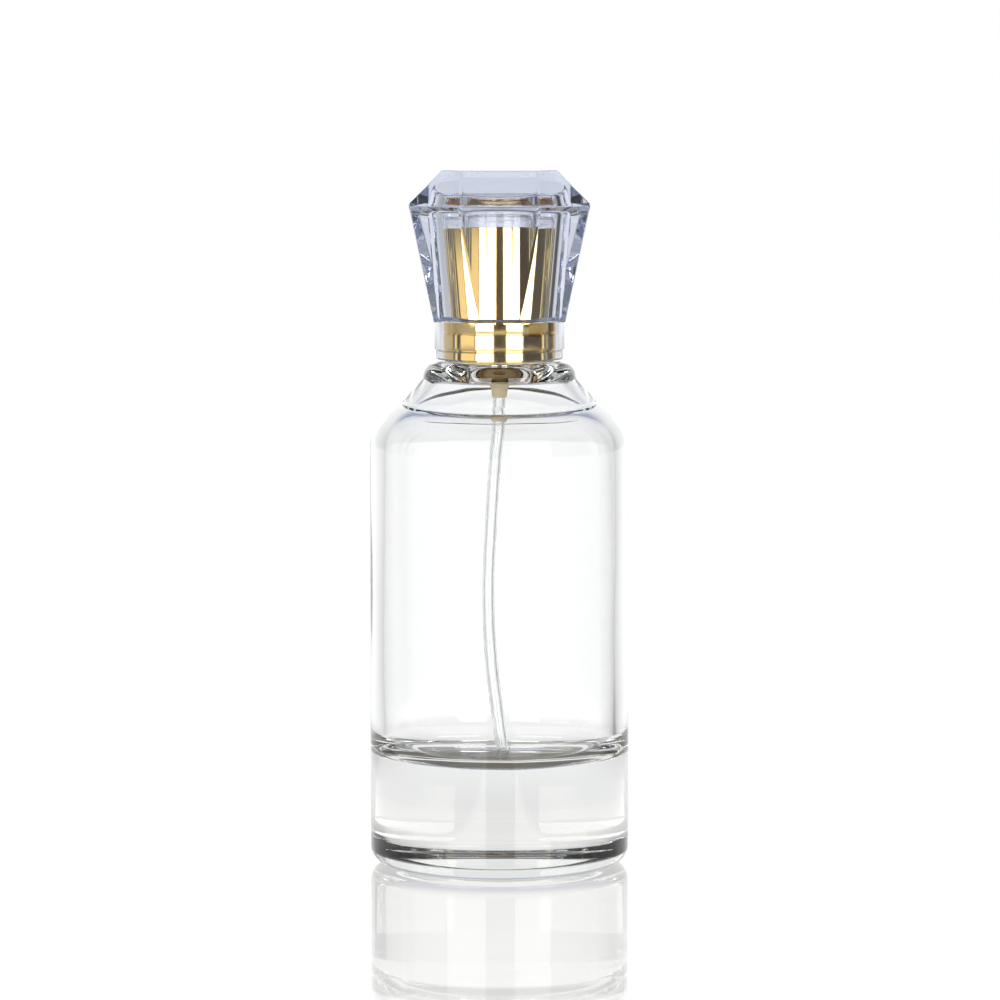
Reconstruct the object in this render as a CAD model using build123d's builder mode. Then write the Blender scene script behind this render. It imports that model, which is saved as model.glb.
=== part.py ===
"""Round clear-glass perfume bottle with a thick base, a crimped spray pump and a faceted clear cap.

Frame: millimetres, +Z up along the bottle's axis, origin at the centre of the resting ring.
The front of the object, which the spray hole faces, is -Y.
"""

import math
import os

from build123d import *

os.makedirs("parts", exist_ok=True)

# ---------------------------------------------------------------- glass bottle
R_BODY = 20.0          # outside radius of the body
R_CAVITY = 17.8        # inside radius of the body
FOOT_FILLET = 2.6      # outside corner at the foot
R_REST = R_BODY - FOOT_FILLET
R_PUNT = 13.6          # the concave underside starts here
PUNT_H = 1.2
Z_FLOOR = 16.6         # inside floor, so the base is a thick disc of solid glass
FLOOR_FILLET = 4.3     # inside corner of the floor
Z_SHOULDER = 64.3      # where the shoulder leaves the straight wall
R_SHOULDER = 8.0       # shoulder radius
R_RING, R_NECKRING = 14.8, 11.8   # foot and head of the neck cone
Z_NECKRING = 75.15
Z_LEDGE = 77.9         # flat top of the rounded neck ring
R_LEDGE = 9.2
R_NECK, R_BEAD, R_BORE = 6.6, 7.5, 4.2   # 15 mm crimp finish
Z_BEAD_LOW, Z_BEAD_HIGH, Z_MOUTH = 80.0, 81.8, 82.2

# ---------------------------------------------------------------- pump
GASKET_T = 0.55
Z_FLANGE = Z_MOUTH + GASKET_T          # 82.75
Z_TURRET = 83.35                       # top of the housing's flange
R_FLANGE = 7.2
R_HOUSING, R_CHAMBER = 4.0, 3.5
Z_CHAMBER, Z_CHAMBER_TOP = 75.4, 86.38 # chamber floor, where the spring stands, and rim
R_TAIL, Z_TAIL = 1.47, 70.8
R_BALL = 0.75
R_STEM, R_STEM_BORE = 1.5, 0.6
Z_TURRET_TOP = 86.85
R_TURRET = 4.45
FERRULE_T = 0.26
R_FERRULE = 7.8
Z_FERRULE_TOP = 84.08

# ---------------------------------------------------------------- dip tube
R_TUBE, R_TUBE_BORE = 0.94, 0.6

# ---------------------------------------------------------------- collar
R_COLLAR = 8.7
R_SHROUD, SHROUD_T = 6.9, 0.25
Z_COLLAR = 77.98
Z_COLLAR_TOP = 84.4
Z_SHROUD_TOP = 90.5

# ---------------------------------------------------------------- actuator
R_ACTUATOR, ACTUATOR_T = 6.4, 0.25
Z_ACTUATOR, Z_ACTUATOR_TOP = 88.2, 96.3
DISH_R, DISH_H = 5.4, 0.45             # finger dish
Z_SPRAY = 93.7
R_NOZZLE = 1.25

# ---------------------------------------------------------------- cap
R_SKIRT, R_SKIRT_FOOT = 10.0, 9.75
R_SKIRT_BORE = 8.95
Z_CAP, Z_CAP_FOOT, Z_CAP_STEP = 78.2, 79.6, 84.0
Z_GIRDLE, Z_TABLE = 102.1, 107.3
R_CAP_BORE, Z_CAP_BORE = 8.1, 101.9
# half width of the main facets, and their distance from the axis
FOOT_OCT = (3.3, 10.1)
GIRDLE_OCT = (6.13, 13.9)
TABLE_OCT = (5.7, 8.8)
R_SLEEVE, SLEEVE_T = 7.9, 0.28
Z_SLEEVE, Z_SLEEVE_TOP = 84.8, 99.2
R_LINER, R_LINER_BORE, R_LINER_GRIP = 7.58, 7.15, 6.96
Z_LINER, Z_LINER_TOP, LINER_TOP_T = 84.8, 101.25, 0.4

D45 = math.sqrt(0.5)


def save(part, name):
    part.label = name
    export_step(part, f"parts/{name}.step")


def octagon(half, dist):
    """Points of a square with cut corners: main faces dist from the axis, each 2 * half wide."""
    return [
        (half, -dist), (dist, -half), (dist, half), (half, dist),
        (-half, dist), (-dist, half), (-dist, -half), (-half, -dist),
    ]


def dish_mid(radius, sag):
    """Depth left at half the radius of a spherical dish of this radius and sag."""
    ball = (radius**2 + sag**2) / (2 * sag)
    return sag - (ball - math.sqrt(ball**2 - (radius / 2) ** 2))


# ================================================================ bottle
C_SH = R_BODY - R_SHOULDER
z_ring = Z_SHOULDER + math.sqrt(R_SHOULDER**2 - (R_RING - C_SH) ** 2)
a_ring = math.atan2(z_ring - Z_SHOULDER, R_RING - C_SH)
r_in_sh = R_CAVITY - C_SH               # inside shoulder radius, concentric with the outside
in_ring = (C_SH + r_in_sh * math.cos(a_ring), Z_SHOULDER + r_in_sh * math.sin(a_ring))
with BuildPart() as bottle:
    with BuildSketch(Plane.XZ) as bottle_sk:
        with BuildLine() as bottle_ln:
            # outside, from the punt to the mouth
            ThreePointArc((0, PUNT_H), (R_PUNT / 2, dish_mid(R_PUNT, PUNT_H)), (R_PUNT, 0))
            Line((R_PUNT, 0), (R_REST, 0))
            ThreePointArc(
                (R_REST, 0),
                (R_REST + FOOT_FILLET * D45, FOOT_FILLET * (1 - D45)),
                (R_BODY, FOOT_FILLET),
            )
            Line((R_BODY, FOOT_FILLET), (R_BODY, Z_SHOULDER))
            ThreePointArc(
                (R_BODY, Z_SHOULDER),
                (C_SH + R_SHOULDER * math.cos(a_ring / 2), Z_SHOULDER + R_SHOULDER * math.sin(a_ring / 2)),
                (R_RING, z_ring),
            )
            Line((R_RING, z_ring), (R_NECKRING, Z_NECKRING))
            ThreePointArc(
                (R_NECKRING, Z_NECKRING),
                (R_LEDGE + (R_NECKRING - R_LEDGE) * D45, Z_NECKRING + (Z_LEDGE - Z_NECKRING) * D45),
                (R_LEDGE, Z_LEDGE),
            )
            Polyline(
                (R_LEDGE, Z_LEDGE), (R_NECK + 0.3, Z_LEDGE), (R_NECK, Z_LEDGE + 0.3),
                (R_NECK, Z_BEAD_LOW - 0.8), (R_BEAD, Z_BEAD_LOW), (R_BEAD, Z_BEAD_HIGH),
                (R_BEAD - 0.4, Z_MOUTH), (R_BORE + 0.3, Z_MOUTH), (R_BORE, Z_MOUTH - 0.3),
                # inside, from the bore over the low ceiling and down the cone to the floor
                (R_BORE, 76.85),
            )
            ThreePointArc((R_BORE, 76.85), (R_BORE + 1.5 * (1 - D45), 76.85 - 1.5 * D45), (R_BORE + 1.5, 75.35))
            Line((R_BORE + 1.5, 75.35), (8.3, 74.98))
            ThreePointArc((8.3, 74.98), (9.6, 74.55), (10.5, 73.7))
            Line((10.5, 73.7), in_ring)
            ThreePointArc(
                in_ring,
                (C_SH + r_in_sh * math.cos(a_ring / 2), Z_SHOULDER + r_in_sh * math.sin(a_ring / 2)),
                (R_CAVITY, Z_SHOULDER),
            )
            Line((R_CAVITY, Z_SHOULDER), (R_CAVITY, Z_FLOOR + FLOOR_FILLET))
            ThreePointArc(
                (R_CAVITY, Z_FLOOR + FLOOR_FILLET),
                (R_CAVITY - FLOOR_FILLET * (1 - D45), Z_FLOOR + FLOOR_FILLET * (1 - D45)),
                (R_CAVITY - FLOOR_FILLET, Z_FLOOR),
            )
            Line((R_CAVITY - FLOOR_FILLET, Z_FLOOR), (0, Z_FLOOR))
            Line((0, Z_FLOOR), (0, PUNT_H))
        make_face()
    revolve(axis=Axis.Z)
save(bottle.part, "bottle")

# ================================================================ neck gasket
with BuildPart() as neck_gasket:
    with BuildSketch(Plane.XY.offset(Z_MOUTH)):
        Circle(7.1)
        Circle(4.3, mode=Mode.SUBTRACT)
    extrude(amount=GASKET_T)
save(neck_gasket.part, "neck_gasket")

# ================================================================ pump housing
Z_SEAT = 73.5                  # narrow end of the ball's conical seat
with BuildPart() as pump_housing:
    with BuildSketch(Plane.XZ):
        with BuildLine():
            Polyline(
                (R_CHAMBER, Z_CHAMBER_TOP), (R_HOUSING, Z_CHAMBER_TOP), (R_HOUSING, Z_TURRET),
                (R_FLANGE, Z_TURRET), (R_FLANGE, Z_FLANGE), (R_HOUSING, Z_FLANGE),
                (R_HOUSING, 75.6), (2.8, 74.65), (1.65, 74.3), (R_TAIL, 73.9), (R_TAIL - 0.02, 73.4),
                (1.12, Z_TAIL), (R_TUBE + 0.01, Z_TAIL), (R_TUBE + 0.01, 72.8),
                (0.45, 72.8), (0.45, Z_SEAT), (1.0, Z_SEAT + 0.75), (1.0, Z_CHAMBER - 0.3),
                (1.3, Z_CHAMBER), (R_CHAMBER, Z_CHAMBER), close=True,
            )
        make_face()
    revolve(axis=Axis.Z)
save(pump_housing.part, "pump_housing")

# ================================================================ inlet ball
# The seat's cone runs from (0.45, Z_SEAT) to (1.0, Z_SEAT + 0.75); the ball touches it with a hair of room.
cone_half = math.atan2(1.0 - 0.45, 0.75)
Z_BALL = Z_SEAT - 0.45 / math.tan(cone_half) + (R_BALL + 0.01) / math.sin(cone_half)
with BuildPart() as inlet_ball:
    with BuildSketch(Plane.XZ):
        with BuildLine():
            ThreePointArc((0, Z_BALL - R_BALL), (R_BALL, Z_BALL), (0, Z_BALL + R_BALL))
            Line((0, Z_BALL + R_BALL), (0, Z_BALL - R_BALL))
        make_face()
    revolve(axis=Axis.Z)
save(inlet_ball.part, "inlet_ball")

# ================================================================ pump turret (closes the chamber and guides the stem)
with BuildPart() as pump_turret:
    with BuildSketch(Plane.XZ):
        with BuildLine():
            Polyline(
                (1.62, Z_CHAMBER_TOP + 0.02), (R_HOUSING + 0.02, Z_CHAMBER_TOP + 0.02),
                (R_HOUSING + 0.02, Z_TURRET), (7.15, Z_TURRET), (7.15, Z_TURRET + 0.45),
                (R_TURRET, Z_TURRET + 0.45), (R_TURRET, Z_TURRET_TOP - 0.25),
                (R_TURRET - 0.25, Z_TURRET_TOP), (1.75, Z_TURRET_TOP), (1.62, Z_TURRET_TOP - 0.13), close=True,
            )
        make_face()
    revolve(axis=Axis.Z)
save(pump_turret.part, "pump_turret")

# ================================================================ stem seal
with BuildPart() as stem_seal:
    with BuildSketch(Plane.XY.offset(86.03)):
        Circle(R_CHAMBER - 0.02)
        Circle(1.56, mode=Mode.SUBTRACT)
    extrude(amount=0.35)
save(stem_seal.part, "stem_seal")

# ================================================================ stem, upper half
with BuildPart() as upper_stem:
    with BuildSketch(Plane.XZ):
        with BuildLine():
            Polyline(
                (R_STEM_BORE, 93.2), (R_STEM - 0.1, 93.2), (R_STEM, 93.0), (R_STEM, 86.0),
                (2.3, 86.0), (2.3, 85.4), (1.9, 85.4), (1.9, 84.95), (0.95, 84.95), (0.95, 86.45),
                (R_STEM_BORE, 86.65), close=True,
            )
        make_face()
    revolve(axis=Axis.Z)
save(upper_stem.part, "upper_stem")

# ================================================================ stem, lower half (plugs into the upper, carries the piston)
with BuildPart() as lower_stem:
    with BuildSketch(Plane.XZ):
        with BuildLine():
            Polyline(
                (0, 81.65), (1.05, 81.65), (1.25, 81.85), (1.25, 83.35), (2.9, 83.35), (2.9, 83.8), (1.2, 83.8),
                (1.2, 84.93), (0.93, 84.93), (0.93, 86.4), (0.5, 86.4), (0.5, 84.55), (0, 84.55), close=True,
            )
        make_face()
    revolve(axis=Axis.Z)
    with BuildSketch(Plane.YZ):
        with Locations((0, 84.33)):
            Circle(0.28)
    extrude(amount=2.0, both=True, mode=Mode.SUBTRACT)
save(lower_stem.part, "lower_stem")

# ================================================================ piston, two lips on one hub
with BuildPart() as piston:
    with BuildSketch(Plane.XZ):
        with BuildLine():
            Polyline(
                (1.24, 83.83), (2.2, 83.83), (2.6, 84.2), (3.1, 83.85), (3.46, 83.85), (3.46, 84.12),
                (3.1, 84.3), (3.1, 84.5), (3.46, 84.68), (3.46, 84.93), (3.1, 84.93), (2.6, 84.55),
                (1.24, 84.55), close=True,
            )
        make_face()
    revolve(axis=Axis.Z)
save(piston.part, "piston")

# ================================================================ return spring
SPRING_R, WIRE_R = 2.4, 0.21
Z_SPRING_LOW, Z_SPRING_HIGH = Z_CHAMBER + 0.02, 83.33
coils = 6.5
pitch = (Z_SPRING_HIGH - Z_SPRING_LOW - 2 * WIRE_R) / coils
with BuildPart() as return_spring:
    with BuildLine(Plane.XY.offset(Z_SPRING_LOW + WIRE_R)) as spring_ln:
        Helix(pitch=pitch, height=pitch * coils, radius=SPRING_R)
    with BuildSketch(Plane(origin=spring_ln.line @ 0, z_dir=spring_ln.line % 0)):
        Circle(WIRE_R)
    sweep()
save(return_spring.part, "return_spring")

# ================================================================ ferrule, crimped under the bead
with BuildPart() as ferrule:
    with BuildSketch(Plane.XZ):
        with BuildLine():
            Polyline(
                (R_TURRET + 0.08, Z_FERRULE_TOP - FERRULE_T), (R_FERRULE - FERRULE_T, Z_FERRULE_TOP - FERRULE_T),
                (R_FERRULE - FERRULE_T, 79.72), (6.78, 79.12), (6.78, 78.84), (6.95, 78.84),
                (R_FERRULE, 79.5), (R_FERRULE, Z_FERRULE_TOP - 0.35),
                (R_FERRULE - 0.35, Z_FERRULE_TOP), (R_TURRET + 0.08, Z_FERRULE_TOP), close=True,
            )
        make_face()
    revolve(axis=Axis.Z)
save(ferrule.part, "ferrule")

# ================================================================ collar and its plastic insert
with BuildPart() as collar:
    with BuildSketch(Plane.XZ):
        with BuildLine():
            Polyline(
                (8.42, Z_COLLAR), (R_COLLAR - 0.12, Z_COLLAR), (R_COLLAR, Z_COLLAR + 0.12),
                (R_COLLAR, 79.72), (R_COLLAR - 0.13, 79.78), (R_COLLAR - 0.13, 79.96), (R_COLLAR, 80.02),
                (R_COLLAR, 82.26), (R_COLLAR - 0.13, 82.32), (R_COLLAR - 0.13, 82.5), (R_COLLAR, 82.56),
                (R_COLLAR, 84.0), (R_COLLAR - 0.3, Z_COLLAR_TOP), (R_SHROUD + 0.2, Z_COLLAR_TOP),
                (R_SHROUD, Z_COLLAR_TOP + 0.2), (R_SHROUD, Z_SHROUD_TOP - 0.08), (R_SHROUD - 0.06, Z_SHROUD_TOP),
                (R_SHROUD - 0.14, Z_SHROUD_TOP), (R_SHROUD - SHROUD_T, Z_SHROUD_TOP - 0.08),
                (R_SHROUD - SHROUD_T, Z_COLLAR_TOP - 0.27), (8.2, Z_COLLAR_TOP - 0.27), (8.42, 83.85), close=True,
            )
        make_face()
    revolve(axis=Axis.Z)
save(collar.part, "collar")

with BuildPart() as collar_insert:
    with BuildSketch(Plane.XZ):
        with BuildLine():
            Polyline(
                (R_FERRULE + 0.03, 84.05), (8.18, 84.05), (8.4, 83.8), (8.4, 78.1),
                (7.4, 78.1), (7.2, 78.3), (7.2, 78.7), (R_FERRULE + 0.03, 79.2), close=True,
            )
        make_face()
    revolve(axis=Axis.Z)
save(collar_insert.part, "collar_insert")

# ================================================================ dip tube
route = [
    (0, 0, 72.78), (0, 0, 68.6), (-0.95, -0.35, 58.5), (-1.75, -1.75, 43.5),
    (-1.35, -2.95, 32.0), (0.63, -5.15, 16.9),
]
turns = []
for i in range(1, len(route) - 1):
    a = Vector(*route[i]) - Vector(*route[i - 1])
    b = Vector(*route[i + 1]) - Vector(*route[i])
    turn = math.radians(a.get_angle(b))
    turns.append(0.45 * min(a.length, b.length) / math.tan(turn / 2))
with BuildPart() as dip_tube:
    with BuildLine() as tube_ln:
        FilletPolyline(*route, radius=turns)
    with BuildSketch(Plane(origin=tube_ln.line @ 0, z_dir=tube_ln.line % 0)):
        Circle(R_TUBE)
        Circle(R_TUBE_BORE, mode=Mode.SUBTRACT)
    sweep()
    # the foot is cut slanting, so that it never seals on the floor
    tip = Vector(*route[-1])
    with BuildSketch(Plane(origin=(tip.X, tip.Y, Z_FLOOR + 0.4), x_dir=(1, 0, 0), z_dir=(0.0, -0.30, 1))):
        Rectangle(8, 8)
    extrude(amount=-4, mode=Mode.SUBTRACT)
tube_len = sum(e.length for e in tube_ln.edges())
print("dip tube length", round(tube_len, 2), "volume", round(dip_tube.part.volume, 3),
      "expected", round(math.pi * (R_TUBE**2 - R_TUBE_BORE**2) * tube_len, 3))
save(dip_tube.part, "dip_tube")

# ================================================================ actuator
r_in = R_ACTUATOR - ACTUATOR_T
with BuildPart() as actuator_shell:
    with BuildSketch(Plane.XZ):
        with BuildLine():
            Polyline(
                (r_in, Z_ACTUATOR), (R_ACTUATOR - 0.08, Z_ACTUATOR), (R_ACTUATOR, Z_ACTUATOR + 0.08),
                (R_ACTUATOR, Z_ACTUATOR_TOP - 0.5),
            )
            ThreePointArc(
                (R_ACTUATOR, Z_ACTUATOR_TOP - 0.5),
                (R_ACTUATOR - 0.5 * (1 - D45), Z_ACTUATOR_TOP - 0.5 * (1 - D45)),
                (R_ACTUATOR - 0.5, Z_ACTUATOR_TOP),
            )
            Line((R_ACTUATOR - 0.5, Z_ACTUATOR_TOP), (DISH_R, Z_ACTUATOR_TOP))
            ThreePointArc(
                (DISH_R, Z_ACTUATOR_TOP), (DISH_R / 2, Z_ACTUATOR_TOP - dish_mid(DISH_R, DISH_H)),
                (0, Z_ACTUATOR_TOP - DISH_H),
            )
            Polyline(
                (0, Z_ACTUATOR_TOP - DISH_H), (0, Z_ACTUATOR_TOP - 0.8), (r_in - 0.2, Z_ACTUATOR_TOP - 0.8),
                (r_in, Z_ACTUATOR_TOP - 1.0), (r_in, Z_ACTUATOR),
            )
        make_face()
    revolve(axis=Axis.Z)
    with BuildSketch(Plane.XZ.offset(2)):
        with Locations((0, Z_SPRAY)):
            Circle(R_NOZZLE + 0.1)
    extrude(amount=6, mode=Mode.SUBTRACT)
save(actuator_shell.part, "actuator_shell")

r_core = r_in - 0.02
z_core = Z_ACTUATOR_TOP - 0.82
with BuildPart() as actuator_core:
    with BuildSketch(Plane.XZ):
        with BuildLine():
            Polyline(
                (0, z_core), (r_core - 0.2, z_core), (r_core, z_core - 0.2), (r_core, 90.0), (5.3, 90.0),
                (5.3, 94.6), (2.3, 94.6), (2.3, 90.0), (R_STEM + 0.02, 90.0), (R_STEM + 0.02, 93.22),
                (R_STEM_BORE, 93.22), (R_STEM_BORE, 94.4), (0, 94.4), close=True,
            )
        make_face()
    revolve(axis=Axis.Z)
    # boss that holds the nozzle, from the stem socket to the front wall
    with BuildSketch(Plane.XZ.offset(2.0)):
        with Locations((0, Z_SPRAY)):
            Circle(1.75)
    extrude(amount=5.6 - 2.0)
    with BuildSketch(Plane.XZ.offset(4.2)):
        with Locations((0, Z_SPRAY)):
            Circle(R_NOZZLE + 0.01)
    extrude(amount=4, mode=Mode.SUBTRACT)
    with BuildSketch(Plane.XZ.offset(0.1)):
        with Locations((0, Z_SPRAY)):
            Circle(0.35)
    extrude(amount=4.5, mode=Mode.SUBTRACT)
save(actuator_core.part, "actuator_core")

with BuildPart() as nozzle_insert:
    with BuildSketch(Plane.XZ.offset(4.22)):
        with Locations((0, Z_SPRAY)):
            Circle(R_NOZZLE)
    extrude(amount=6.26 - 4.22)
    with BuildSketch(Plane.XZ.offset(4.22)):
        with Locations((0, Z_SPRAY)):
            Circle(0.9)
    extrude(amount=1.2, mode=Mode.SUBTRACT)
    with BuildSketch(Plane.XZ.offset(6.26)):
        with Locations((0, Z_SPRAY)):
            Circle(0.65)
    extrude(amount=-0.3, taper=35, mode=Mode.SUBTRACT)
    with BuildSketch(Plane.XZ.offset(5.0)):
        with Locations((0, Z_SPRAY)):
            Circle(0.16)
    extrude(amount=2, mode=Mode.SUBTRACT)
save(nozzle_insert.part, "nozzle_insert")

# ================================================================ cap
with BuildPart() as cap_shell:
    with BuildSketch(Plane.XY.offset(Z_CAP_STEP)):
        Polygon(*octagon(*FOOT_OCT), align=None)
    with BuildSketch(Plane.XY.offset(Z_GIRDLE)):
        Polygon(*octagon(*GIRDLE_OCT), align=None)
    loft(ruled=True)
    with BuildSketch(Plane.XY.offset(Z_GIRDLE)):
        Polygon(*octagon(*GIRDLE_OCT), align=None)
    with BuildSketch(Plane.XY.offset(Z_TABLE)):
        Polygon(*octagon(*TABLE_OCT), align=None)
    loft(ruled=True)
    with BuildSketch(Plane.XZ):
        with BuildLine():
            Polyline(
                (0, Z_CAP), (R_SKIRT_FOOT - 0.15, Z_CAP), (R_SKIRT_FOOT, Z_CAP + 0.15),
                (R_SKIRT_FOOT, Z_CAP_FOOT), (R_SKIRT, Z_CAP_FOOT + 0.12), (R_SKIRT, Z_CAP_STEP - 0.15),
                (R_SKIRT - 0.2, Z_CAP_STEP + 0.05), (9.0, Z_CAP_STEP + 0.25), (0, Z_CAP_STEP + 0.25), close=True,
            )
        make_face()
    revolve(axis=Axis.Z)
    with BuildSketch(Plane.XZ):
        with BuildLine():
            Polyline(
                (0, Z_CAP - 1), (R_SKIRT_BORE + 0.15, Z_CAP - 1), (R_SKIRT_BORE + 0.15, Z_CAP),
                (R_SKIRT_BORE, Z_CAP + 0.15), (R_SKIRT_BORE, 84.6), (R_CAP_BORE, 84.73),
                (R_CAP_BORE, Z_CAP_BORE - 0.8), (R_CAP_BORE - 0.8, Z_CAP_BORE), (0, Z_CAP_BORE), close=True,
            )
        make_face()
    revolve(axis=Axis.Z, mode=Mode.SUBTRACT)
save(cap_shell.part, "cap_shell")

with BuildPart() as cap_sleeve:
    with BuildSketch(Plane.XZ):
        with BuildLine():
            Polyline(
                (R_SLEEVE - SLEEVE_T, Z_SLEEVE), (R_SLEEVE - 0.06, Z_SLEEVE), (R_SLEEVE, Z_SLEEVE + 0.06),
                (R_SLEEVE, Z_SLEEVE_TOP - 0.1), (R_SLEEVE - 0.1, Z_SLEEVE_TOP),
                (R_SLEEVE - SLEEVE_T, Z_SLEEVE_TOP), close=True,
            )
        make_face()
    revolve(axis=Axis.Z)
save(cap_sleeve.part, "cap_sleeve")

with BuildPart() as cap_liner:
    with BuildSketch(Plane.XZ):
        with BuildLine():
            Line((R_LINER_BORE + 0.1, Z_LINER), (R_LINER, Z_LINER))
            Line((R_LINER, Z_LINER), (R_LINER, Z_LINER_TOP - 0.9))
            ThreePointArc(
                (R_LINER, Z_LINER_TOP - 0.9),
                (R_LINER - 0.9 * (1 - D45), Z_LINER_TOP - 0.9 * (1 - D45)),
                (R_LINER - 0.9, Z_LINER_TOP),
            )
            Polyline(
                (R_LINER - 0.9, Z_LINER_TOP), (0, Z_LINER_TOP), (0, Z_LINER_TOP - LINER_TOP_T),
                (R_LINER - 0.93, Z_LINER_TOP - LINER_TOP_T),
            )
            ThreePointArc(
                (R_LINER - 0.93, Z_LINER_TOP - LINER_TOP_T),
                (R_LINER_BORE - 0.5 * (1 - D45), Z_LINER_TOP - LINER_TOP_T - 0.5 * (1 - D45)),
                (R_LINER_BORE, Z_LINER_TOP - LINER_TOP_T - 0.5),
            )
            Polyline(
                (R_LINER_BORE, Z_LINER_TOP - LINER_TOP_T - 0.5),
                (R_LINER_BORE, 90.0), (R_LINER_GRIP, 89.8), (R_LINER_GRIP, 89.4), (R_LINER_BORE, 89.2),
                (R_LINER_BORE, 86.8), (R_LINER_GRIP, 86.6), (R_LINER_GRIP, 86.2), (R_LINER_BORE, 86.0),
                (R_LINER_BORE, Z_LINER + 0.1), (R_LINER_BORE + 0.1, Z_LINER),
            )
        make_face()
    revolve(axis=Axis.Z)
save(cap_liner.part, "cap_liner")

cavity = math.pi * (R_CAVITY**2) * (Z_SHOULDER - Z_FLOOR) / 1000
print("rough inside volume, ml", round(cavity, 1), "overall height", Z_TABLE)
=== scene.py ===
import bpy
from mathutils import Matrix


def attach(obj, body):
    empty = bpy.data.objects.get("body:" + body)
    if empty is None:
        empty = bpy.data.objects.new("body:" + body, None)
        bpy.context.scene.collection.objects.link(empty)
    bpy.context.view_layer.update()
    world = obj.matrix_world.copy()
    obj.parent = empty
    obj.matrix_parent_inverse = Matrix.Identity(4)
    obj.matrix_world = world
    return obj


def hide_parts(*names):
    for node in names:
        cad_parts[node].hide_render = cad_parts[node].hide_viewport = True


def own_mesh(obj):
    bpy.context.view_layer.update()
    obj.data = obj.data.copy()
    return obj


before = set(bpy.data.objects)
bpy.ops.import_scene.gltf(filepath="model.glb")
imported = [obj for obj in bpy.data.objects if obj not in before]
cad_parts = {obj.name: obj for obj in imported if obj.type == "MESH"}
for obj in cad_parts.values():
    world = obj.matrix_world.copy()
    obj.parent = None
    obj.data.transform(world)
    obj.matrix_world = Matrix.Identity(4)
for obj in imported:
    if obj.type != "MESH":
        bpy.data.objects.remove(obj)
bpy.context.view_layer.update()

import math

import bmesh
import bpy
from mathutils import Matrix, Vector, noise

MM = 0.001
SEG = 256


# ------------------------------------------------------------------ meshes
def arc(p0, pm, p1, n):
    """n + 1 points on the circle through three points, from p0 to p1."""
    ax, ay = p0
    bx, by = pm
    cx, cy = p1
    d = 2 * (ax * (by - cy) + bx * (cy - ay) + cx * (ay - by))
    ux = ((ax**2 + ay**2) * (by - cy) + (bx**2 + by**2) * (cy - ay) + (cx**2 + cy**2) * (ay - by)) / d
    uy = ((ax**2 + ay**2) * (cx - bx) + (bx**2 + by**2) * (ax - cx) + (cx**2 + cy**2) * (bx - ax)) / d
    r = math.hypot(ax - ux, ay - uy)
    a0, am, a1 = (math.atan2(y - uy, x - ux) for x, y in (p0, pm, p1))
    turn = (a1 - a0) % (2 * math.pi)
    if (am - a0) % (2 * math.pi) > turn:
        turn -= 2 * math.pi
    return [(ux + r * math.cos(a0 + turn * i / n), uy + r * math.sin(a0 + turn * i / n)) for i in range(n + 1)]


def around(c, r, a0, a1, n):
    """n + 1 points on an arc about c, from angle a0 to a1 in degrees."""
    return [
        (c[0] + r * math.cos(math.radians(a0 + (a1 - a0) * i / n)), c[1] + r * math.sin(math.radians(a0 + (a1 - a0) * i / n)))
        for i in range(n + 1)
    ]


def soften(points, radius, n=4, closed=True):
    """The polyline with its corners rounded by up to radius."""
    out = []
    m = len(points)
    for i, p in enumerate(points):
        if not closed and i in (0, m - 1):
            out.append(p)
            continue
        a, b = Vector(points[i - 1]), Vector(points[(i + 1) % m])
        c = Vector(p)
        u, v = a - c, b - c
        if p[0] < 1e-6 or u.length < 1e-6 or v.length < 1e-6:
            out.append(p)
            continue
        ang = u.angle(v)
        if ang > math.radians(176):
            out.append(p)
            continue
        cut = min(radius / math.tan(ang / 2), 0.45 * u.length, 0.45 * v.length)
        p0, p1 = c + u.normalized() * cut, c + v.normalized() * cut
        for k in range(n + 1):
            t = k / n
            out.append(tuple(p0 * (1 - t) ** 2 + c * 2 * t * (1 - t) + p1 * t**2))
    return out


def lathe(name, profile, mat, segments=None, sharp=32.0, wobble=None):
    """A closed profile of (r, z) points in mm, turned about Z. Points with r = 0 lie on the axis."""
    segments = segments or SEG
    pts = []
    for p in profile:
        if not pts or math.hypot(p[0] - pts[-1][0], p[1] - pts[-1][1]) > 1e-5:
            pts.append(p)
    if math.hypot(pts[0][0] - pts[-1][0], pts[0][1] - pts[-1][1]) < 1e-5:
        pts.pop()
    bm = bmesh.new()
    rings = []
    for i, (r, z) in enumerate(pts):
        if r < 1e-6:
            rings.append([bm.verts.new((0, 0, z * MM))])
            continue
        ring = []
        for k in range(segments):
            a = 2 * math.pi * k / segments
            rr, zz = r, z
            if wobble:
                dr, dz = wobble(i, r, z, a)
                rr, zz = r + dr, z + dz
            ring.append(bm.verts.new((rr * MM * math.cos(a), rr * MM * math.sin(a), zz * MM)))
        rings.append(ring)
    m = len(rings)
    for i in range(m):
        a, b = rings[i], rings[(i + 1) % m]
        if len(a) == 1 and len(b) == 1:
            continue
        for k in range(segments):
            j = (k + 1) % segments
            if len(a) == 1:
                bm.faces.new((a[0], b[j], b[k]))
            elif len(b) == 1:
                bm.faces.new((a[k], a[j], b[0]))
            else:
                bm.faces.new((a[k], a[j], b[j], b[k]))
    bmesh.ops.recalc_face_normals(bm, faces=bm.faces)
    me = bpy.data.meshes.new(name)
    bm.to_mesh(me)
    bm.free()
    me.shade_smooth()
    me.set_sharp_from_angle(angle=math.radians(sharp))
    ob = bpy.data.objects.new(name, me)
    bpy.context.scene.collection.objects.link(ob)
    me.materials.append(mat)
    return ob


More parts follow.
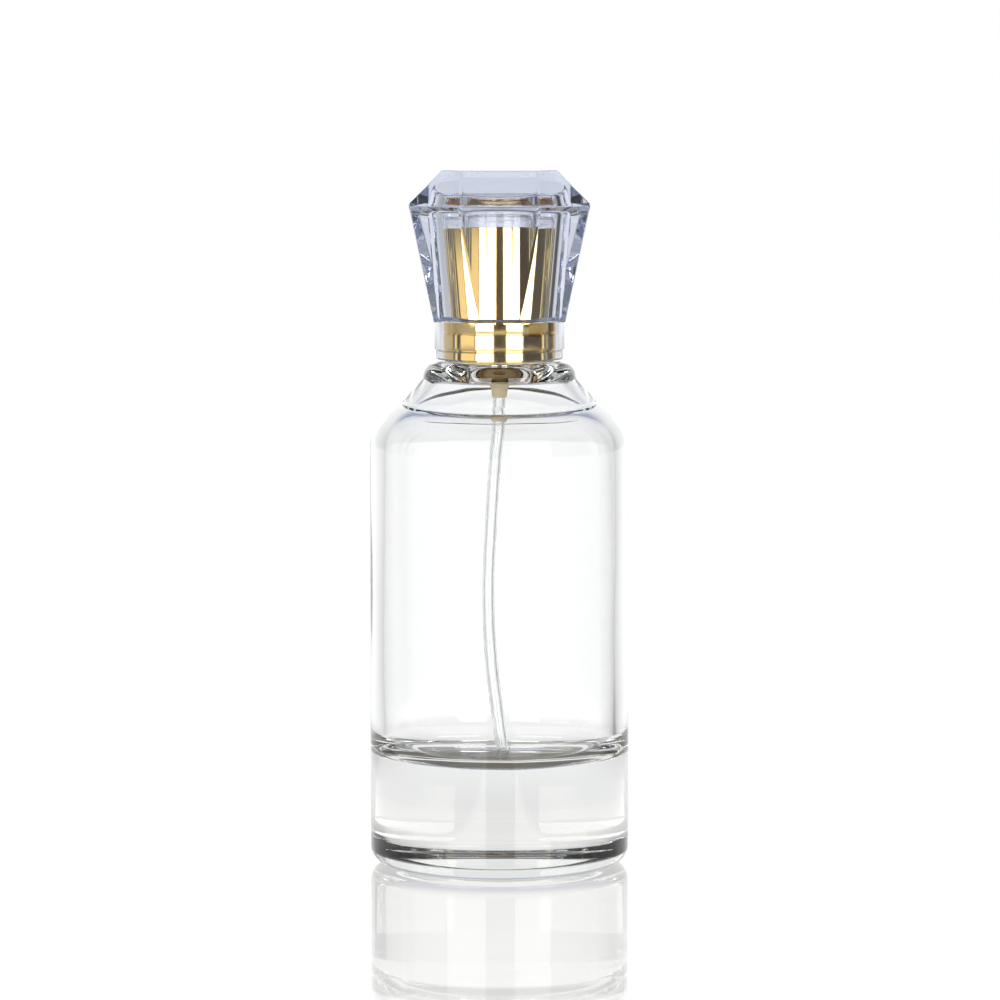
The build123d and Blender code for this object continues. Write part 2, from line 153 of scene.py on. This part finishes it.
def boolean(ob, tool, op):
    mod = ob.modifiers.new("b", "BOOLEAN")
    mod.operation = op
    mod.solver = "EXACT"
    mod.object = tool
    bpy.context.view_layer.update()
    dg = bpy.context.evaluated_depsgraph_get()
    made = bpy.data.meshes.new_from_object(ob.evaluated_get(dg))
    ob.modifiers.remove(mod)
    old = ob.data
    ob.data = made
    bpy.data.meshes.remove(old)
    bpy.data.objects.remove(tool, do_unlink=True)
    return ob


# ------------------------------------------------------------------ materials
def material(name):
    m = bpy.data.materials.new(name)
    m.use_nodes = True
    nt = m.node_tree
    b = nt.nodes["Principled BSDF"]
    return m, nt, b


def noise_bump(nt, b, scale, strength, distance, detail=3.0, stretch=(1, 1, 1), rough=None):
    tc = nt.nodes.new("ShaderNodeTexCoord")
    mp = nt.nodes.new("ShaderNodeMapping")
    mp.inputs["Scale"].default_value = stretch
    nz = nt.nodes.new("ShaderNodeTexNoise")
    nz.inputs["Scale"].default_value = scale
    nz.inputs["Detail"].default_value = detail
    bp = nt.nodes.new("ShaderNodeBump")
    bp.inputs["Strength"].default_value = strength
    bp.inputs["Distance"].default_value = distance
    nt.links.new(tc.outputs["Object"], mp.inputs["Vector"])
    nt.links.new(mp.outputs["Vector"], nz.inputs["Vector"])
    nt.links.new(nz.outputs["Fac"], bp.inputs["Height"])
    nt.links.new(bp.outputs["Normal"], b.inputs["Normal"])
    if rough:
        mr = nt.nodes.new("ShaderNodeMapRange")
        mr.inputs["To Min"].default_value = rough[0]
        mr.inputs["To Max"].default_value = rough[1]
        nt.links.new(nz.outputs["Fac"], mr.inputs["Value"])
        nt.links.new(mr.outputs["Result"], b.inputs["Roughness"])


def clear(name, color, ior, wave=0.0, wave_scale=60.0, roughness=0.0):
    m, nt, b = material(name)
    b.inputs["Base Color"].default_value = (*color, 1)
    b.inputs["Transmission Weight"].default_value = 1.0
    b.inputs["IOR"].default_value = ior
    b.inputs["Roughness"].default_value = roughness
    if wave:
        noise_bump(nt, b, wave_scale, wave, 0.001, detail=1.0, stretch=(1, 1, 0.5))
    return m


def metal(name, color, rough, scale=900.0, bump=0.02, stretch=(1, 1, 12)):
    m, nt, b = material(name)
    b.inputs["Base Color"].default_value = (*color, 1)
    b.inputs["Metallic"].default_value = 1.0
    noise_bump(nt, b, scale, bump, 0.0002, stretch=stretch, rough=rough)
    return m


def plastic(name, color, rough, trans=0.0, ior=1.49, bump=0.04, sss=0.0):
    m, nt, b = material(name)
    b.inputs["Base Color"].default_value = (*color, 1)
    b.inputs["Transmission Weight"].default_value = trans
    b.inputs["IOR"].default_value = ior
    b.inputs["Subsurface Weight"].default_value = sss
    b.inputs["Subsurface Radius"].default_value = (0.002, 0.002, 0.002)
    noise_bump(nt, b, 1400.0, bump, 0.0002, rough=rough)
    return m


GLASS = clear("flint_glass", (0.992, 0.992, 0.99), 1.5, wave=0.02, wave_scale=45.0)
thick = GLASS.node_tree.nodes.new("ShaderNodeVolumeAbsorption")
thick.inputs["Color"].default_value = (0.10, 0.14, 0.06, 1)
thick.inputs["Density"].default_value = 6.0
GLASS.node_tree.links.new(thick.outputs[0], GLASS.node_tree.nodes["Material Output"].inputs["Volume"])
ACRYLIC = clear("cap_acrylic", (0.95, 0.96, 0.985), 1.49, wave=0.012, wave_scale=70.0)
tint = ACRYLIC.node_tree.nodes.new("ShaderNodeVolumeAbsorption")
tint.inputs["Color"].default_value = (0.38, 0.46, 0.66, 1)
tint.inputs["Density"].default_value = 26.0
ACRYLIC.node_tree.links.new(tint.outputs[0], ACRYLIC.node_tree.nodes["Material Output"].inputs["Volume"])
LINER = plastic("liner_natural", (0.93, 0.94, 0.97), (0.05, 0.12), trans=0.97, ior=1.2)
GOLD = metal("gold_anodised", (0.96, 0.70, 0.26), (0.05, 0.11))
FERRULE = metal("ferrule_gold", (0.62, 0.43, 0.17), (0.12, 0.22))
TUBE = plastic("tube_natural", (0.94, 0.955, 0.96), (0.06, 0.14), trans=0.92, ior=1.46)
HOUSING = plastic("pump_natural", (0.93, 0.80, 0.56), (0.10, 0.2), trans=0.45, ior=1.49)
WHITE = plastic("white_moulded", (0.86, 0.86, 0.84), (0.28, 0.42), sss=0.1)
NOZZLE = plastic("nozzle_moulded", (0.80, 0.66, 0.38), (0.25, 0.4))
PISTON = plastic("piston_natural", (0.9, 0.91, 0.92), (0.2, 0.35), sss=0.1)
RUBBER = plastic("seal_rubber_black", (0.035, 0.035, 0.038), (0.5, 0.7), bump=0.12)
AMBER = plastic("gasket_amber", (0.26, 0.165, 0.05), (0.25, 0.4), bump=0.08)
SLEEVE = plastic("insert_amber", (0.26, 0.17, 0.055), (0.2, 0.35))
STEEL = metal("spring_wire", (0.62, 0.62, 0.63), (0.16, 0.3), bump=0.05, stretch=(6, 6, 1))
BALL = metal("ball_steel", (0.7, 0.7, 0.71), (0.05, 0.1), bump=0.01, stretch=(1, 1, 1))

for node, mat in {
    "neck_gasket": AMBER, "pump_housing": HOUSING, "pump_turret": WHITE, "stem_seal": RUBBER, "upper_stem": WHITE,
    "lower_stem": WHITE, "piston": PISTON, "return_spring": STEEL, "inlet_ball": BALL, "ferrule": FERRULE,
    "collar_insert": SLEEVE, "dip_tube": TUBE, "actuator_core": WHITE, "nozzle_insert": NOZZLE,
}.items():
    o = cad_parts[node]
    o.data.materials.clear()
    o.data.materials.append(mat)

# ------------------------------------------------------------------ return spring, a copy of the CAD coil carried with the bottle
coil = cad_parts["return_spring"]
spring = bpy.data.objects.new("spring_coil", coil.data.copy())
bpy.context.scene.collection.objects.link(spring)
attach(spring, "bottle")
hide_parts("return_spring")
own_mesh(spring)

# ------------------------------------------------------------------ bottle glass
R, RC, FF = 20.0, 17.8, 2.6
ZSH, RSH = 64.3, 8.0
ring = (14.8, ZSH + math.sqrt(RSH**2 - 2.8**2))
a_ring = math.degrees(math.atan2(ring[1] - ZSH, 2.8))
FLOOR, FR = 16.6, 4.3


def foot_wave(i, r, z, a):
    """Hot glass never runs quite even: the inside wall and floor wander by a few hundredths."""
    if i < INNER:
        return 0.0, 0.0
    v = noise.noise(Vector((3.0 * math.cos(a), 3.0 * math.sin(a), z * 0.09)))
    w = noise.noise(Vector((r * 0.16 * math.cos(a) + 5, r * 0.16 * math.sin(a), z * 0.05)))
    if r < 5.8 and z > 70:
        return 0.0, 0.0
    return 0.06 * v, (0.10 * w if z < 21.5 else 0.0)


outside = (
    arc((0, 1.2), (6.8, 0.9017), (13.6, 0), 24)
    + [(R - FF, 0)]
    + around((R - FF, FF), FF, -90, 0, 14)
    + [(R, z) for z in (10, 18, 26, 34, 42, 50, 58)]
    + around((R - RSH, ZSH), RSH, 0, a_ring, 28)
    + soften([ring, (11.8, 75.15)], 0.1, closed=False)[1:]
    + [(9.2 + 2.6 * math.cos(t), 75.15 + 2.75 * math.sin(t)) for t in (math.pi / 2 * k / 18 for k in range(19))]
    + [(6.9, 77.9), (6.6, 78.2), (6.6, 79.2), (7.5, 80.0), (7.5, 81.8), (7.1, 82.16), (4.5, 82.16)]
)
INNER = len(outside)
inside = (
    [(4.2, 81.86), (4.2, 79.0), (4.2, 77.5)]
    + around((5.7, 76.85), 1.5, 180, 270, 10)
    + [(7.0, 75.17)]
    + arc((8.3, 74.98), (9.6, 74.55), (10.5, 73.7), 10)
    + around((R - RSH, ZSH), RC - (R - RSH), a_ring, 0, 26)
    + [(RC, z) for z in (60, 54, 48, 42, 36, 30, 26, 23)]
    + around((RC - FR, FLOOR + FR), FR, 0, -90, 24)
    + [(12.0, FLOOR), (9, FLOOR), (6, FLOOR), (3, FLOOR), (0, FLOOR)]
)
bottle = lathe("bottle_glass", outside + inside, GLASS, wobble=foot_wave, sharp=28)
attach(bottle, "bottle")
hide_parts("bottle")

# ------------------------------------------------------------------ gold collar and actuator
collar_profile = [
    (8.42, 77.98), (8.7, 77.98), (8.7, 79.70), (8.55, 79.76), (8.55, 79.96), (8.7, 80.02), (8.7, 82.26), (8.55, 82.32),
    (8.55, 82.50), (8.7, 82.56), (8.7, 84.4), (6.9, 84.4), (6.9, 90.5), (6.65, 90.5), (6.65, 84.13), (8.2, 84.13), (8.42, 83.85),
]
collar = lathe("collar_gold", soften(collar_profile, 0.14, n=4), GOLD, sharp=50)
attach(collar, "bottle")
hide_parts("collar")

sag_ball = (5.4**2 + 0.45**2) / 0.9
dish = [(r, 96.3 - 0.45 + (sag_ball - math.sqrt(sag_ball**2 - r * r))) for r in (5.3, 4.6, 3.8, 3.0, 2.2, 1.4, 0.7, 0)]
act_profile = (
    [(6.15, 88.2), (6.32, 88.2), (6.4, 88.28), (6.4, 92.0), (6.4, 95.8)]
    + around((5.9, 95.8), 0.5, 0, 90, 8)
    + [(5.55, 96.3)]
    + dish
    + [(0, 95.5), (5.95, 95.5), (6.15, 95.3), (6.15, 92.0)]
)
actuator = lathe("actuator_gold", act_profile, GOLD, sharp=50)
hole = bpy.data.meshes.new("hole")
bm = bmesh.new()
bmesh.ops.create_cone(bm, cap_ends=True, segments=64, radius1=1.35 * MM, radius2=1.35 * MM, depth=4 * MM,
                      matrix=Matrix.Translation((0, -6.3 * MM, 93.7 * MM)) @ Matrix.Rotation(math.pi / 2, 4, "X"))
bm.to_mesh(hole)
bm.free()
hole_ob = bpy.data.objects.new("hole", hole)
bpy.context.scene.collection.objects.link(hole_ob)
boolean(actuator, hole_ob, "DIFFERENCE")
actuator.data.shade_smooth()
actuator.data.set_sharp_from_angle(angle=math.radians(35))
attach(actuator, "actuator")
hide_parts("actuator_shell")

# ------------------------------------------------------------------ cap
FOOT, GIRDLE, TABLE = (3.3, 10.1), (6.13, 13.9), (5.7, 8.8)
Z_FOOT, Z_GIRDLE, Z_TABLE = 84.0, 102.1, 107.3


def octagon(h, d):
    return [(h, -d), (d, -h), (d, h), (h, d), (-h, d), (-d, h), (-d, -h), (-h, -d)]


bm = bmesh.new()
loops = [
    [bm.verts.new((x * MM, y * MM, z * MM)) for x, y in octagon(*s)]
    for s, z in ((FOOT, Z_FOOT), (GIRDLE, Z_GIRDLE), (TABLE, Z_TABLE))
]
for lo, hi in zip(loops, loops[1:]):
    for k in range(8):
        bm.faces.new((lo[k], lo[(k + 1) % 8], hi[(k + 1) % 8], hi[k]))
bm.faces.new(loops[0][::-1])
bm.faces.new(loops[2])
bmesh.ops.recalc_face_normals(bm, faces=bm.faces)
bmesh.ops.bevel(bm, geom=[e for e in bm.edges if (e.verts[0].co.z + e.verts[1].co.z) / 2 > 84.5 * MM],
                offset=0.28 * MM, segments=4, profile=0.5, affect="EDGES", clamp_overlap=True)
me = bpy.data.meshes.new("cap_acrylic")
bm.to_mesh(me)
bm.free()
me.materials.append(ACRYLIC)
cap = bpy.data.objects.new("cap_acrylic", me)
bpy.context.scene.collection.objects.link(cap)
skirt = lathe("skirt", soften([(0, 78.2), (9.75, 78.2), (9.75, 79.6), (10.0, 79.72), (10.0, 84.1), (9.4, 84.35), (0, 84.35)], 0.12, n=3), ACRYLIC)
boolean(cap, skirt, "UNION")
void = lathe("void", soften([(0, 77.2), (9.1, 77.2), (9.1, 78.3), (8.95, 78.4), (8.95, 84.6), (8.1, 84.73), (8.1, 101.9), (0, 101.9)], 0.7, n=8), ACRYLIC)
boolean(cap, void, "DIFFERENCE")
# flat facets stay flat: every edge that bounds a large plane is sharp, and the small roundings between are smooth
me = cap.data
bm = bmesh.new()
bm.from_mesh(me)
bm.normal_update()
for f in bm.faces:
    f.smooth = True
for e in bm.edges:
    e.smooth = True
    if len(e.link_faces) == 2:
        f, g = e.link_faces
        if e.calc_face_angle(0) > math.radians(30):
            e.smooth = False
        elif max(f.calc_area(), g.calc_area()) > 4e-6 and f.normal.angle(g.normal, 0) > math.radians(0.3):
            e.smooth = False
bm.to_mesh(me)
bm.free()
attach(cap, "cap")
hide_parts("cap_shell")

sleeve_profile = [(7.62, 84.8), (7.84, 84.8), (7.9, 84.86), (7.9, 92.0), (7.9, 99.1), (7.8, 99.2), (7.62, 99.2), (7.62, 92.0)]
sleeve = lathe("cap_sleeve_gold", soften(sleeve_profile, 0.04, n=2), GOLD, sharp=50)
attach(sleeve, "cap")
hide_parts("cap_sleeve")

liner_profile = (
    [(7.25, 84.8), (7.58, 84.8), (7.58, 92.0), (7.58, 97.0)]
    + around((6.68, 100.35), 0.9, 0, 90, 10)
    + [(3.4, 101.25)]
    + [(0, 101.25), (0, 100.85)]
    + around((6.65, 100.35), 0.5, 90, 0, 8)
    + [(7.15, 96.0), (7.15, 90.0), (6.96, 89.8), (6.96, 89.4), (7.15, 89.2), (7.15, 86.8), (6.96, 86.6), (6.96, 86.2), (7.15, 86.0), (7.15, 84.9)]
)
liner = lathe("cap_liner_natural", liner_profile, LINER, sharp=40)
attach(liner, "cap")
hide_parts("cap_liner")

# ------------------------------------------------------------------ floor
bm = bmesh.new()
bmesh.ops.create_grid(bm, x_segments=8, y_segments=8, size=1.5)
me = bpy.data.meshes.new("floor")
bm.to_mesh(me)
bm.free()
floor = bpy.data.objects.new("floor", me)
floor.location = (0, 0, -0.00012)
bpy.context.scene.collection.objects.link(floor)
fm = bpy.data.materials.new("floor_gloss")
fm.use_nodes = True
nt = fm.node_tree
nt.nodes.clear()
out = nt.nodes.new("ShaderNodeOutputMaterial")
mix = nt.nodes.new("ShaderNodeMixShader")
em = nt.nodes.new("ShaderNodeEmission")
em.inputs["Color"].default_value = (1, 1, 1, 1)
em.inputs["Strength"].default_value = 1.02
gl = nt.nodes.new("ShaderNodeBsdfGlossy")
gl.inputs["Roughness"].default_value = 0.02
gl.inputs["Color"].default_value = (0.93, 0.915, 0.885, 1)
tc = nt.nodes.new("ShaderNodeTexCoord")
sep = nt.nodes.new("ShaderNodeSeparateXYZ")
rng = nt.nodes.new("ShaderNodeMapRange")
rng.inputs["From Min"].default_value = -0.11
rng.inputs["From Max"].default_value = -0.01
rng.inputs["To Min"].default_value = 0.74
rng.inputs["To Max"].default_value = 0.95
nt.links.new(tc.outputs["Object"], sep.inputs[0])
nt.links.new(sep.outputs["Y"], rng.inputs["Value"])


def ramp(source, a, b, va, vb):
    n = nt.nodes.new("ShaderNodeMapRange")
    n.interpolation_type = "SMOOTHSTEP"
    for name, value in (("From Min", a), ("From Max", b), ("To Min", va), ("To Max", vb)):
        n.inputs[name].default_value = value
    nt.links.new(source, n.inputs["Value"])
    return n.outputs["Result"]


def maths(operation, a, b=None):
    n = nt.nodes.new("ShaderNodeMath")
    n.operation = operation
    for i, v in enumerate((a, b)):
        if isinstance(v, float):
            n.inputs[i].default_value = v
        elif v is not None:
            nt.links.new(v, n.inputs[i])
    return n.outputs[0]


# the floor's white glow gives way to a glossy mirror in a disc round the foot and in a lane towards the viewer, fading
# away from the bottle: a real reflection of the bottle, and painted shade, a soft contact shadow where the floor glows
# less
radius = nt.nodes.new("ShaderNodeVectorMath")
radius.operation = "LENGTH"
nt.links.new(tc.outputs["Object"], radius.inputs[0])
# painted shadow: a disc round the foot where the floor glows less and mirrors instead
mirror_and_shadow_disc = ramp(radius.outputs["Value"], 0.024, 0.050, 1.0, 0.0)
# painted shade: a lane towards the viewer where the floor glows less and mirrors the bottle
mirror_and_shade_lane = maths("MULTIPLY", ramp(maths("ABSOLUTE", sep.outputs["X"]), 0.024, 0.036, 1.0, 0.0),
             ramp(sep.outputs["Y"], -0.02, 0.0, 1.0, 0.0))
fresnel = nt.nodes.new("ShaderNodeFresnel")
fresnel.inputs["IOR"].default_value = 1.5
gloss = maths("MULTIPLY", maths("MINIMUM", maths("MULTIPLY", fresnel.outputs[0], 1.35), 1.0), maths("MAXIMUM", mirror_and_shadow_disc, mirror_and_shade_lane))
nt.links.new(maths("MULTIPLY", gloss, rng.outputs["Result"]), mix.inputs["Fac"])
nt.links.new(em.outputs[0], mix.inputs[1])
nt.links.new(gl.outputs[0], mix.inputs[2])
nt.links.new(mix.outputs[0], out.inputs["Surface"])
floor.data.materials.append(fm)

# ------------------------------------------------------------------ studio
world = bpy.data.worlds.new("studio")
bpy.context.scene.world = world
world.use_nodes = True
world.node_tree.nodes["Background"].inputs["Color"].default_value = (1, 1, 1, 1)
world.node_tree.nodes["Background"].inputs["Strength"].default_value = 1.0


def card(name, az0, az1, z0, z1, dist, color, strength):
    """A curved upright card about the axis. Azimuth 0 is towards the viewer, positive to the viewer's right."""
    bm = bmesh.new()
    n = 24
    cols = []
    for i in range(n + 1):
        a = math.radians(az0 + (az1 - az0) * i / n)
        x, y = dist * math.sin(a), -dist * math.cos(a)
        cols.append((bm.verts.new((x, y, z0)), bm.verts.new((x, y, z1))))
    for a, b in zip(cols, cols[1:]):
        bm.faces.new((a[0], b[0], b[1], a[1]))
    me = bpy.data.meshes.new(name)
    bm.to_mesh(me)
    bm.free()
    ob = bpy.data.objects.new(name, me)
    bpy.context.scene.collection.objects.link(ob)
    m = bpy.data.materials.new(name)
    m.use_nodes = True
    t = m.node_tree
    t.nodes.clear()
    o = t.nodes.new("ShaderNodeOutputMaterial")
    e = t.nodes.new("ShaderNodeEmission")
    e.inputs["Color"].default_value = (*color, 1)
    e.inputs["Strength"].default_value = strength
    t.links.new(e.outputs[0], o.inputs["Surface"])
    me.materials.append(m)
    ob.visible_camera = False
    ob.visible_shadow = False
    return ob


def step(x, table):
    """Straight-line reading between the (x, value) pairs of a table."""
    if x <= table[0][0]:
        return table[0][1]
    for (x0, v0), (x1, v1) in zip(table, table[1:]):
        if x <= x1:
            t = (x - x0) / (x1 - x0)
            if isinstance(v0, tuple):
                return tuple(a + (b - a) * t for a, b in zip(v0, v1))
            return v0 + (v1 - v0) * t
    return table[-1][1]


def glow_shell(name, rows, value):
    """A shell through rows of points, with a light of its own at every point, unseen by the camera itself."""
    bm = bmesh.new()
    grid = [[bm.verts.new(p) for p in row] for row in rows]
    bm.verts.index_update()
    for a, b in zip(grid, grid[1:]):
        for k in range(len(a) - 1):
            bm.faces.new((a[k], a[k + 1], b[k + 1], b[k]))
    me = bpy.data.meshes.new(name)
    bm.to_mesh(me)
    bm.free()
    at = me.color_attributes.new(name="glow", type="FLOAT_COLOR", domain="POINT")
    for v in me.vertices:
        at.data[v.index].color = (*value(v.co), 1.0)
    ob = bpy.data.objects.new(name, me)
    bpy.context.scene.collection.objects.link(ob)
    m = bpy.data.materials.new(name)
    m.use_nodes = True
    t = m.node_tree
    t.nodes.clear()
    o = t.nodes.new("ShaderNodeOutputMaterial")
    e = t.nodes.new("ShaderNodeEmission")
    c = t.nodes.new("ShaderNodeAttribute")
    c.attribute_name = "glow"
    e.inputs["Strength"].default_value = 1.0
    t.links.new(c.outputs["Color"], e.inputs["Color"])
    t.links.new(e.outputs[0], o.inputs["Surface"])
    me.materials.append(m)
    ob.visible_camera = False
    ob.visible_shadow = False
    return ob


# The backdrop, by the angle away from straight behind the bottle: bright in the middle, dim at the sides.
BACK = [(7, 1.00), (12, 1.00), (20, 0.96), (30, 0.88), (40, 0.72), (49, 0.58), (76, 0.58), (79, 0.06), (83, 0.05), (84, 1.2), (88, 1.2), (89, 0.04), (97, 0.04)]
DARK_RIGHT = [(49, 1.0), (53, 0.10), (70, 0.10), (74, 1.0)]
SKY = (0.36, 0.41, 0.56)
TOP = (0.05, 0.046, 0.04)


def studio_light(co):
    el = math.degrees(math.atan2(co.z, math.hypot(co.x, co.y)))
    az = math.degrees(math.atan2(co.x, -co.y))
    if abs(az) > 82:
        v = step(180 - abs(az), BACK)
        if az > 0:
            v *= step(180 - az, DARK_RIGHT)
        low = (v * 0.99, v, v * 1.01)
        high = tuple(c * max(0.3, v) for c in SKY)
    elif az < -50:
        low, high = (1.25, 1.12, 0.92), (0.25, 0.25, 0.24)
    elif az > 48:
        low, high = (0.06, 0.05, 0.035), (0.05, 0.045, 0.035)
    else:
        low, high = (0.24, 0.225, 0.205), (0.06, 0.055, 0.045)
    return step(el, [(21, low), (31, high), (58, high), (66, TOP)])


rows = []
for k in range(47):
    el = math.radians(-2.0 + 92.0 * k / 46)
    rows.append([(2.2 * math.cos(el) * math.sin(a), -2.2 * math.cos(el) * math.cos(a), 2.2 * math.sin(el))
                 for a in (2 * math.pi * n / 240 for n in range(241))])
glow_shell("studio_shell", rows, studio_light)


def table_light(co):
    d = 180 - abs(math.degrees(math.atan2(co.x, -co.y)))
    far = step(d, [(14, 1.14), (22, 1.06), (32, 0.92), (45, 0.7), (60, 0.55), (95, 0.40), (140, 0.55), (180, 0.75)])
    if co.x > 0:
        far *= step(d, [(47, 1.0), (52, 0.15), (70, 0.15), (75, 1.0)])
    v = 1.0 + (far - 1.0) * step(math.hypot(co.x, co.y), [(0.07, 0.0), (0.13, 1.0)])
    return (v * 0.985, v * 0.99, v)


rows = []
for r in (0.06, 0.07, 0.08, 0.09, 0.10, 0.115, 0.13, 0.16, 0.22, 0.30, 0.45, 0.8, 1.4, 2.19):
    rows.append([(r * math.sin(a), -r * math.cos(a), 0.0002) for a in (2 * math.pi * n / 120 for n in range(121))])
glow_shell("table_shell", rows, table_light).visible_glossy = False
# little light gets in under the foot
rows = [[(r * math.sin(a), -r * math.cos(a), -0.00006) for a in (2 * math.pi * n / 96 for n in range(97))]
        for r in (0.0002, 0.004, 0.008, 0.012, 0.015, 0.0175)]
glow_shell("foot_shade", rows, lambda co: (0.16, 0.15, 0.125))

card("soft_left", -47, -12, -0.0, 0.7, 1.2, (1, 1, 1), 5.2)
card("soft_right", 13.5, 46, -0.0, 0.7, 1.2, (1, 1, 1), 5.2)
# what the glossy table mirrors behind the bottle
mirrored = card("mirrored_back", 150, 210, 0.0, 0.7, 2.1, (1, 1, 1), 1.25)
mirrored.visible_transmission = False
card("gap_middle", -12, 13.5, 0.0, 0.9, 1.3, (0.9, 0.75, 0.55), 0.10)

# ------------------------------------------------------------------ camera
cam_data = bpy.data.cameras.new("camera")
cam = bpy.data.objects.new("camera", cam_data)
bpy.context.scene.collection.objects.link(cam)
bpy.context.scene.camera = cam
CAM_D, CAM_H = 0.72, 0.1255
AIM_Z = 0.0563
cam.location = (0, -CAM_D, CAM_H)
pitch = math.atan2(CAM_H - AIM_Z, CAM_D)
cam.rotation_euler = (math.pi / 2 - pitch, 0, 0)
cam_data.sensor_width = 36.0
cam_data.lens = 36.0 * (CAM_D / math.cos(pitch)) / 0.15445
cam_data.shift_x = 0.0005
cam_data.clip_start = 0.01
cam_data.dof.use_dof = False

sc = bpy.context.scene
sc.view_settings.view_transform = "Standard"
sc.cycles.max_bounces = 32
sc.cycles.transmission_bounces = 32
sc.cycles.glossy_bounces = 12
sc.cycles.transparent_max_bounces = 16
sc.cycles.caustics_reflective = True
sc.cycles.caustics_refractive = True
sc.cycles.blur_glossy = 0.0
